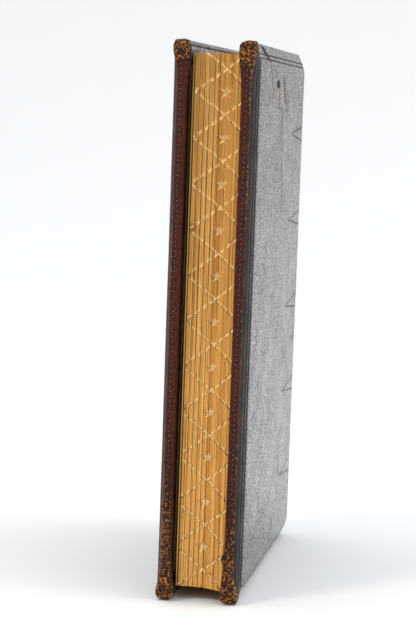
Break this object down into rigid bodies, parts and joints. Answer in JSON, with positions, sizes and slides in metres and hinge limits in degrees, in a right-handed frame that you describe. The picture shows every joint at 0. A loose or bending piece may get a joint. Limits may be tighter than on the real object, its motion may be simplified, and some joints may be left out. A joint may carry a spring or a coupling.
{
  "type": "prayer book",
  "caption": "Small leather-bound prayer book standing on its tail, with gilt gauffered fore-edge, opening boards, hinged leaves in gatherings, raised-band spine and headbands.",
  "frame": {"origin": "middle of the footprint, on the surface that the book stands on", "axes": "+Z from tail to head; -Y towards the fore-edge, +Y towards the spine; -X towards the front board, +X towards the back board"},
  "size_m": [0.0278, 0.1185, 0.18],
  "materials": {
    "morocco_leather": "goatskin, near black, pebbled grain, rubbed at the edges",
    "millboard": "dense grey-brown pulp board",
    "infill_card": "smooth card",
    "endpaper": "plain laid paper, toned with age",
    "endpaper_gilt": "plain laid paper, gilt at three edges",
    "gilt_leaves": "printed leaves, gilt and gauffered at the fore-edge, gilt at head and tail",
    "linen_tape": "woven linen tape",
    "mull_cloth": "open-weave starched cotton",
    "lining_paper": "brown kraft paper",
    "linen_thread": "twisted waxed linen thread",
    "silk_headband": "silk wound over a cord core, red and cream",
    "band_card": "strips of card",
    "stiffener_card": "thin card hollow"
  },
  "bodies": {
    "spine": {"spine_leather": "morocco_leather", "raised_bands": "band_card", "spine_stiffener": "stiffener_card", "front_joint_leather": "morocco_leather", "back_joint_leather": "morocco_leather", "sewing_tapes": "linen_tape", "mull": "mull_cloth", "spine_lining": "lining_paper", "kettle_stitches": "linen_thread", "head_band": "silk_headband", "tail_band": "silk_headband"},
    "front_cover": {"front_board": "millboard", "front_infill": "infill_card", "front_cover_leather": "morocco_leather", "front_pastedown": "endpaper"},
    "back_cover": {"back_board": "millboard", "back_infill": "infill_card", "back_cover_leather": "morocco_leather", "back_pastedown": "endpaper"},
    "front_flyleaf": {"front_flyleaf": "endpaper_gilt"},
    "back_flyleaf": {"back_flyleaf": "endpaper_gilt"},
    "gathering_01": {"gathering_01": "gilt_leaves"},
    "gathering_02": {"gathering_02": "gilt_leaves"},
    "gathering_03": {"gathering_03": "gilt_leaves"},
    "gathering_04": {"gathering_04": "gilt_leaves"},
    "gathering_05": {"gathering_05": "gilt_leaves"},
    "gathering_06": {"gathering_06": "gilt_leaves"},
    "gathering_07": {"gathering_07": "gilt_leaves"},
    "gathering_08": {"gathering_08": "gilt_leaves"},
    "gathering_09": {"gathering_09": "gilt_leaves"},
    "gathering_10": {"gathering_10": "gilt_leaves"}
  },
  "joints": [
    {"name": "front_cover_hinge", "type": "hinge", "parent": "spine", "child": "front_cover", "pos_m": [-0.01097, 0.0548, 0.09], "axis": [0, 0, -1], "range_deg": [-1.35, 170.65]},
    {"name": "back_cover_hinge", "type": "hinge", "parent": "spine", "child": "back_cover", "pos_m": [0.01353, 0.0548, 0.09], "axis": [0, 0, 1], "range_deg": [0, 172]},
    {"name": "front_flyleaf_fold", "type": "hinge", "parent": "spine", "child": "front_flyleaf", "pos_m": [-0.00604, 0.0546, 0.09], "axis": [0, 0, -1], "range_deg": [-0.65, 81.91]},
    {"name": "back_flyleaf_fold", "type": "hinge", "parent": "spine", "child": "back_flyleaf", "pos_m": [0.00861, 0.0546, 0.09], "axis": [0, 0, 1], "range_deg": [0, 82.56]},
    {"name": "gathering_01_fold", "type": "hinge", "parent": "spine", "child": "gathering_01", "pos_m": [-0.00515, 0.05385, 0.09], "axis": [0, 0, -1], "range_deg": [-0.46, 58.02]},
    {"name": "gathering_02_fold", "type": "hinge", "parent": "spine", "child": "gathering_02", "pos_m": [-0.00372, 0.05411, 0.09], "axis": [0, 0, -1], "range_deg": [-0.38, 47.78]},
    {"name": "gathering_03_fold", "type": "hinge", "parent": "spine", "child": "gathering_03", "pos_m": [-0.00229, 0.0543, 0.09], "axis": [0, 0, -1], "range_deg": [-0.28, 35.84]},
    {"name": "gathering_04_fold", "type": "hinge", "parent": "spine", "child": "gathering_04", "pos_m": [-0.00086, 0.05443, 0.09], "axis": [0, 0, -1], "range_deg": [-0.19, 23.89]},
    {"name": "gathering_05_fold", "type": "hinge", "parent": "spine", "child": "gathering_05", "pos_m": [0.00057, 0.05449, 0.09], "axis": [0, 0, -1], "range_deg": [-0.09, 11.95]},
    {"name": "gathering_06_fold", "type": "hinge", "parent": "spine", "child": "gathering_06", "pos_m": [0.002, 0.05449, 0.09], "axis": [0, 0, 1], "range_deg": [0, 12.04]},
    {"name": "gathering_07_fold", "type": "hinge", "parent": "spine", "child": "gathering_07", "pos_m": [0.00343, 0.05443, 0.09], "axis": [0, 0, 1], "range_deg": [0, 24.08]},
    {"name": "gathering_08_fold", "type": "hinge", "parent": "spine", "child": "gathering_08", "pos_m": [0.00486, 0.0543, 0.09], "axis": [0, 0, 1], "range_deg": [0, 36.12]},
    {"name": "gathering_09_fold", "type": "hinge", "parent": "spine", "child": "gathering_09", "pos_m": [0.00629, 0.05411, 0.09], "axis": [0, 0, 1], "range_deg": [0, 48.16]},
    {"name": "gathering_10_fold", "type": "hinge", "parent": "spine", "child": "gathering_10", "pos_m": [0.00772, 0.05385, 0.09], "axis": [0, 0, 1], "range_deg": [0, 58.48]}
  ],
  "couplings": [
    {"joint": "front_flyleaf_fold", "follows": "front_cover_hinge", "ratio": 0.48},
    {"joint": "back_flyleaf_fold", "follows": "back_cover_hinge", "ratio": 0.48},
    {"joint": "gathering_01_fold", "follows": "front_cover_hinge", "ratio": 0.34},
    {"joint": "gathering_02_fold", "follows": "front_cover_hinge", "ratio": 0.28},
    {"joint": "gathering_03_fold", "follows": "front_cover_hinge", "ratio": 0.21},
    {"joint": "gathering_04_fold", "follows": "front_cover_hinge", "ratio": 0.14},
    {"joint": "gathering_05_fold", "follows": "front_cover_hinge", "ratio": 0.07},
    {"joint": "gathering_06_fold", "follows": "back_cover_hinge", "ratio": 0.07},
    {"joint": "gathering_07_fold", "follows": "back_cover_hinge", "ratio": 0.14},
    {"joint": "gathering_08_fold", "follows": "back_cover_hinge", "ratio": 0.21},
    {"joint": "gathering_09_fold", "follows": "back_cover_hinge", "ratio": 0.28},
    {"joint": "gathering_10_fold", "follows": "back_cover_hinge", "ratio": 0.34}
  ]
}
